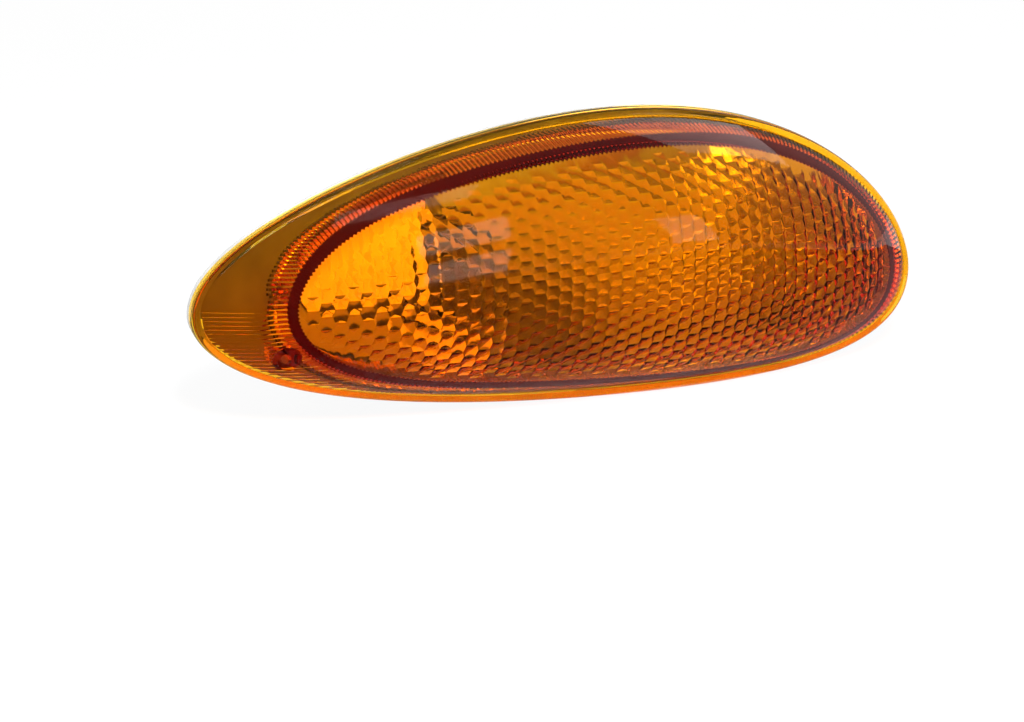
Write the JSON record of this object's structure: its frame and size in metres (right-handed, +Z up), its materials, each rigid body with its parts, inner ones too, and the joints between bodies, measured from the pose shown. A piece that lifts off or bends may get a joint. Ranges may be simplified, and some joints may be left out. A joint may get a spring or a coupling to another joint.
{
  "type": "motorcycle indicator",
  "caption": "Teardrop motorcycle indicator: domed amber lens with fluted border and pillow optics, tapered housing, reflector and bayonet bulb in a rear holder.",
  "frame": {"origin": "midway between the two fixing inserts, on their rear end plane", "axes": "+Y rearwards out of the insert bores (the lens faces -Y), +X along the lamp from tail to nose, +Z up"},
  "size_m": [0.18, 0.072, 0.0682],
  "materials": {
    "amber_lens": "clear gloss amber acrylic",
    "grey_rubber": "matt",
    "foam_rubber": "closed-cell foam",
    "housing_plastic": "fine spark-eroded grain",
    "metallised_plastic": "bright metallised",
    "bulb_glass": "clear",
    "brass": "drawn",
    "tinned_steel": "tinned",
    "filament_wire": "drawn wire",
    "bead_glass": "black glass",
    "holder_plastic": "moulded",
    "carrier_board": "pressed board",
    "screw_steel": "zinc plated"
  },
  "bodies": {
    "root": {"lens": "amber_lens", "lens_seal": "grey_rubber", "fairing_gasket": "foam_rubber", "housing": "housing_plastic", "mounting_inserts": "brass", "reflector": "metallised_plastic", "reflector_step": "metallised_plastic", "bulb_glass": "bulb_glass", "bulb_stem": "bulb_glass", "bulb_filament": "filament_wire", "bulb_cap": "brass", "bulb_insulator": "bead_glass", "bulb_contact": "tinned_steel", "bulb_holder": "holder_plastic", "holder_seal": "grey_rubber", "socket_sleeve": "tinned_steel", "contact_carrier": "carrier_board", "contact_strip": "brass", "live_terminal": "brass", "earth_terminal": "brass", "tail_screw": "screw_steel"}
  },
  "joints": []
}
